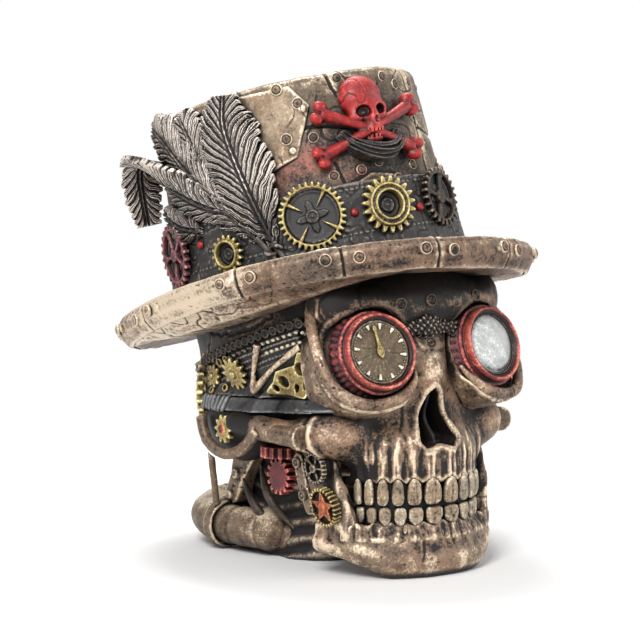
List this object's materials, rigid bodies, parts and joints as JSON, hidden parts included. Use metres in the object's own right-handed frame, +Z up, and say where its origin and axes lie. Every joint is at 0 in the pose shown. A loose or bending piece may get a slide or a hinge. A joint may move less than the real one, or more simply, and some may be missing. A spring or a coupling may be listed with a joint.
{
  "type": "steampunk skull figurine",
  "caption": "Resin skull figurine in a riveted top hat, with round goggles, gears, feathers and a skull and crossbones badge, standing on its jaw and neck.",
  "frame": {"origin": "on the floor under the middle of the skull, on the neck's flat underside", "axes": "+Z up, face towards -Y, the skull's own right side at -X"},
  "size_m": [0.1494, 0.1697, 0.1806],
  "materials": {
    "aged_bone": "resin painted as aged bronze bone, dark wash in the recesses and worn bright edges",
    "teeth": "cream resin with a dark wash between the teeth",
    "hat_bronze": "resin painted as aged bronze sheet with a copper tint",
    "bronze_paint": "resin painted as worn bronze",
    "dark_bronze": "resin painted as blackened bronze",
    "brass_paint": "resin painted as dull yellow brass",
    "copper_red": "resin painted as red copper",
    "red_paint": "satin red paint with a dark wash",
    "black_leather_look": "resin painted as black leather",
    "grey_rubber_look": "resin painted as grey rubber hose",
    "silver_grey": "resin painted as silver grey feather with dark grooves",
    "dial_face": "dark printed dial with pale ticks",
    "pale_lens": "pale glossy domed lens"
  },
  "bodies": {
    "root": {"band_stud_1": "red_paint", "band_stud_2": "red_paint", "band_stud_3": "red_paint", "bevel_gear_lower": "red_paint", "bevel_gear_upper": "red_paint", "bezel_ring_left": "copper_red", "bezel_ring_right": "copper_red", "brim_binding": "hat_bronze", "cheek_rod_left": "bronze_paint", "cheek_rod_right": "bronze_paint", "cranium": "aged_bone", "ear_bracket_left": "bronze_paint", "ear_bracket_right": "bronze_paint", "ear_gear_right": "copper_red", "emblem_crossbones": "red_paint", "emblem_ribbon": "black_leather_look", "emblem_skull": "red_paint", "feather_front": "silver_grey", "feather_middle": "silver_grey", "feather_rear": "silver_grey", "feather_small": "silver_grey", "gauge_dial": "dial_face", "gauge_needle": "brass_paint", "glass_lens_left": "pale_lens", "goggle_cup_left": "bronze_paint", "goggle_cup_right": "bronze_paint", "hat_band": "black_leather_look", "hat_brim": "hat_bronze", "hat_crown": "hat_bronze", "head_strap": "black_leather_look", "jaw": "aged_bone", "jaw_gear_copper_right": "copper_red", "jaw_gear_dark_right": "dark_bronze", "jaw_plate_right": "bronze_paint", "knurled_ring_left": "copper_red", "knurled_ring_right": "copper_red", "large_band_gear": "brass_paint", "lens_barrel_left": "copper_red", "lens_barrel_right": "copper_red", "lower_belt": "grey_rubber_look", "lower_teeth": "teeth", "neck_base": "dark_bronze", "neck_linkage_right": "bronze_paint", "neck_pipe": "bronze_paint", "neck_rod_right": "bronze_paint", "nose_bridge": "dark_bronze", "patch_plate": "hat_bronze", "pipe_collar": "bronze_paint", "rear_band_gear": "copper_red", "rear_cover_right": "brass_paint", "ring_band_gear": "brass_paint", "side_band_gear": "dark_bronze", "small_band_gear": "brass_paint", "small_temple_gear_right": "brass_paint", "strap_chain_left": "dark_bronze", "strap_chain_right": "dark_bronze", "temple_brace_right": "bronze_paint", "temple_gear_right": "brass_paint", "temple_plate_right": "brass_paint", "upper_teeth": "teeth"}
  },
  "joints": []
}
